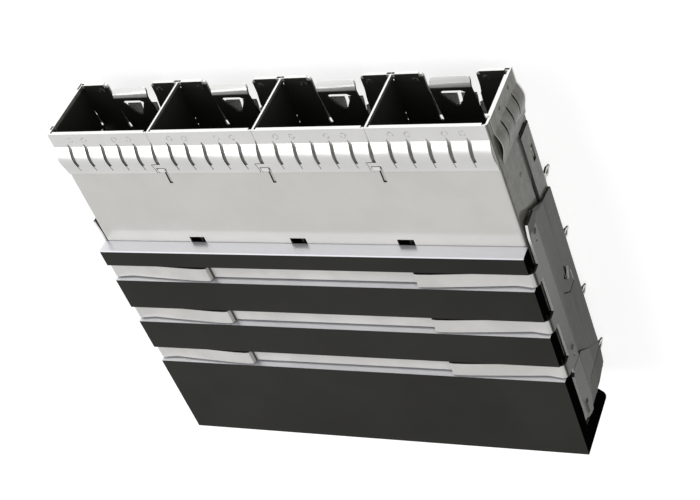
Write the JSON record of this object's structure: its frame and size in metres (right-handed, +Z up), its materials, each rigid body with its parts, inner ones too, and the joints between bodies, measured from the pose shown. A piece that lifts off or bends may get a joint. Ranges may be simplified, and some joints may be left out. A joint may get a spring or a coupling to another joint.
{
  "type": "sfp cage",
  "caption": "Ganged sheet-metal cage for pluggable transceiver modules, with EMI spring strips round the mouth and a strapped riding heat sink.",
  "frame": {"origin": "on the board plane under the base sheet, on the centre line, midway between the mouth and the rear wall", "axes": "+X across the ports, to the right when looking into the mouths; +Y from the mouths to the rear; +Z up from the board"},
  "size_m": [0.0588, 0.0528, 0.0138],
  "materials": {
    "cage_steel": "bright rolled strip, nickel plated",
    "spring_steel": "bright spring strip",
    "heat_sink": "black anodised, satin, with pale front faces",
    "clip_steel": "stamped stainless strip"
  },
  "bodies": {
    "root": {"cage_cover": "cage_steel", "cage_base": "cage_steel", "divider_1": "cage_steel", "divider_2": "cage_steel", "divider_3": "cage_steel", "top_spring_1": "spring_steel", "top_spring_2": "spring_steel", "top_spring_3": "spring_steel", "top_spring_4": "spring_steel", "bottom_spring_1": "spring_steel", "bottom_spring_2": "spring_steel", "bottom_spring_3": "spring_steel", "bottom_spring_4": "spring_steel", "side_spring_left": "spring_steel", "side_spring_right": "spring_steel", "heat_sink": "heat_sink", "heat_sink_clip": "clip_steel"}
  },
  "joints": []
}
